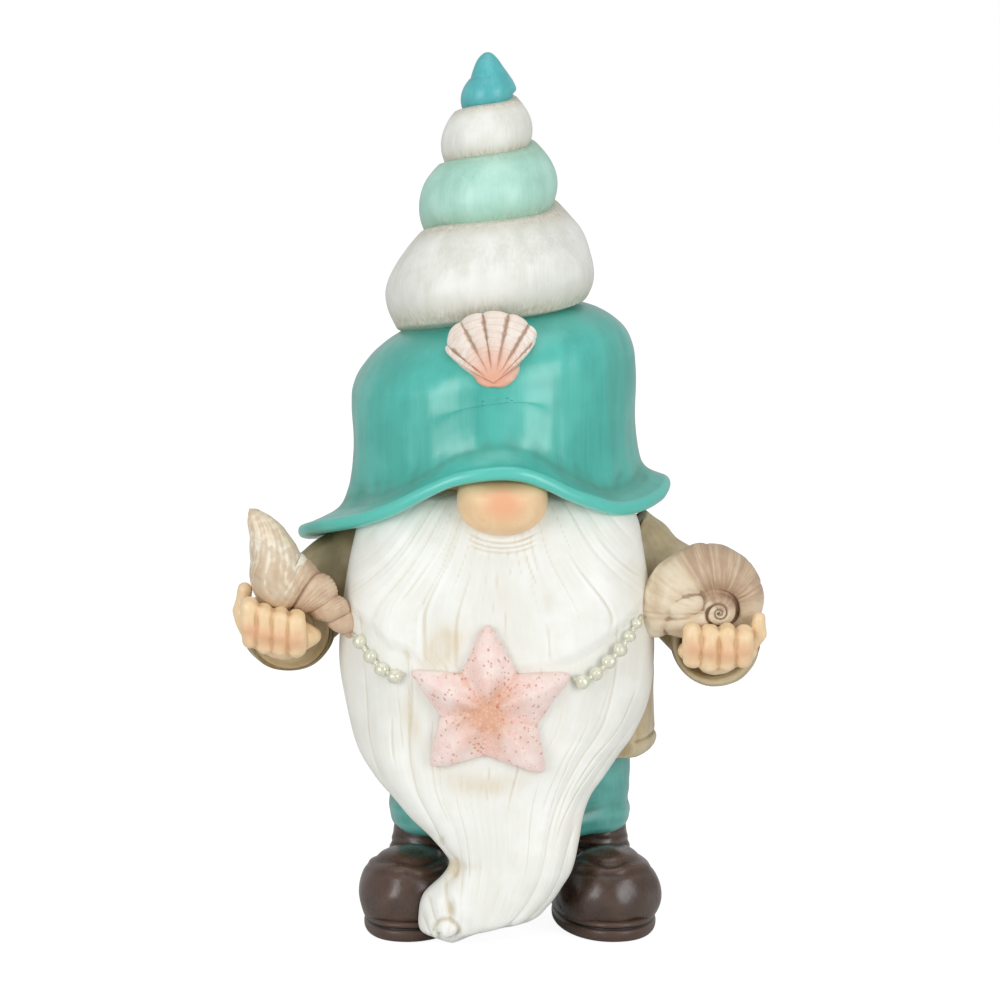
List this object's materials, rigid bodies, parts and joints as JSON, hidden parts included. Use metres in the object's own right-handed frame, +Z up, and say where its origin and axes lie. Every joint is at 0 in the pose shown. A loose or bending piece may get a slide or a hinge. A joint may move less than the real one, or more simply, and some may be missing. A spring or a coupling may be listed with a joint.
{
  "type": "garden gnome figurine",
  "caption": "Standing garden gnome with a spiral sea-shell hat, long curled beard, and a shell held up in each upturned hand.",
  "frame": {"origin": "centre of the figure's footprint box, on the plane of the soles", "axes": "+Z up to the spire's tip, -Y the way the gnome faces, +X to the gnome's left"},
  "size_m": [0.1797, 0.121, 0.2944],
  "materials": {
    "hat_teal": "brushed on satin paint with a dark wash",
    "spire_white": "satin paint with a brown wash in the seams",
    "spire_mint": "satin paint",
    "spire_tip_teal": "satin paint",
    "scallop_blush": "blended paint with dark grooves",
    "skin": "matt paint with a pink blush",
    "beard_white": "matt paint with a tan wash in the grooves",
    "starfish_pink": "matt paint with small red-brown pits",
    "bead_pearl": "pearly silver paint",
    "jacket_tan": "matt brushed paint",
    "whelk_cream": "satin paint with brown streaks",
    "snail_taupe": "satin paint with radiating streaks",
    "trousers_teal": "matt brushed paint",
    "boot_brown": "glossy paint",
    "sole_brown": "satin paint"
  },
  "bodies": {
    "root": {"hat": "hat_teal", "large_white_whorl": "spire_white", "mint_whorl": "spire_mint", "small_white_whorl": "spire_white", "teal_spire_tip": "spire_tip_teal", "hat_scallop": "scallop_blush", "head": "skin", "nose": "skin", "beard": "beard_white", "starfish": "starfish_pink", "right_bead_string": "bead_pearl", "left_bead_string": "bead_pearl", "jacket": "jacket_tan", "right_sleeve": "jacket_tan", "left_sleeve": "jacket_tan", "right_hand": "skin", "left_hand": "skin", "whelk_shell": "whelk_cream", "moon_snail_shell": "snail_taupe", "trousers": "trousers_teal", "right_boot": "boot_brown", "left_boot": "boot_brown", "right_sole": "sole_brown", "left_sole": "sole_brown"}
  },
  "joints": []
}
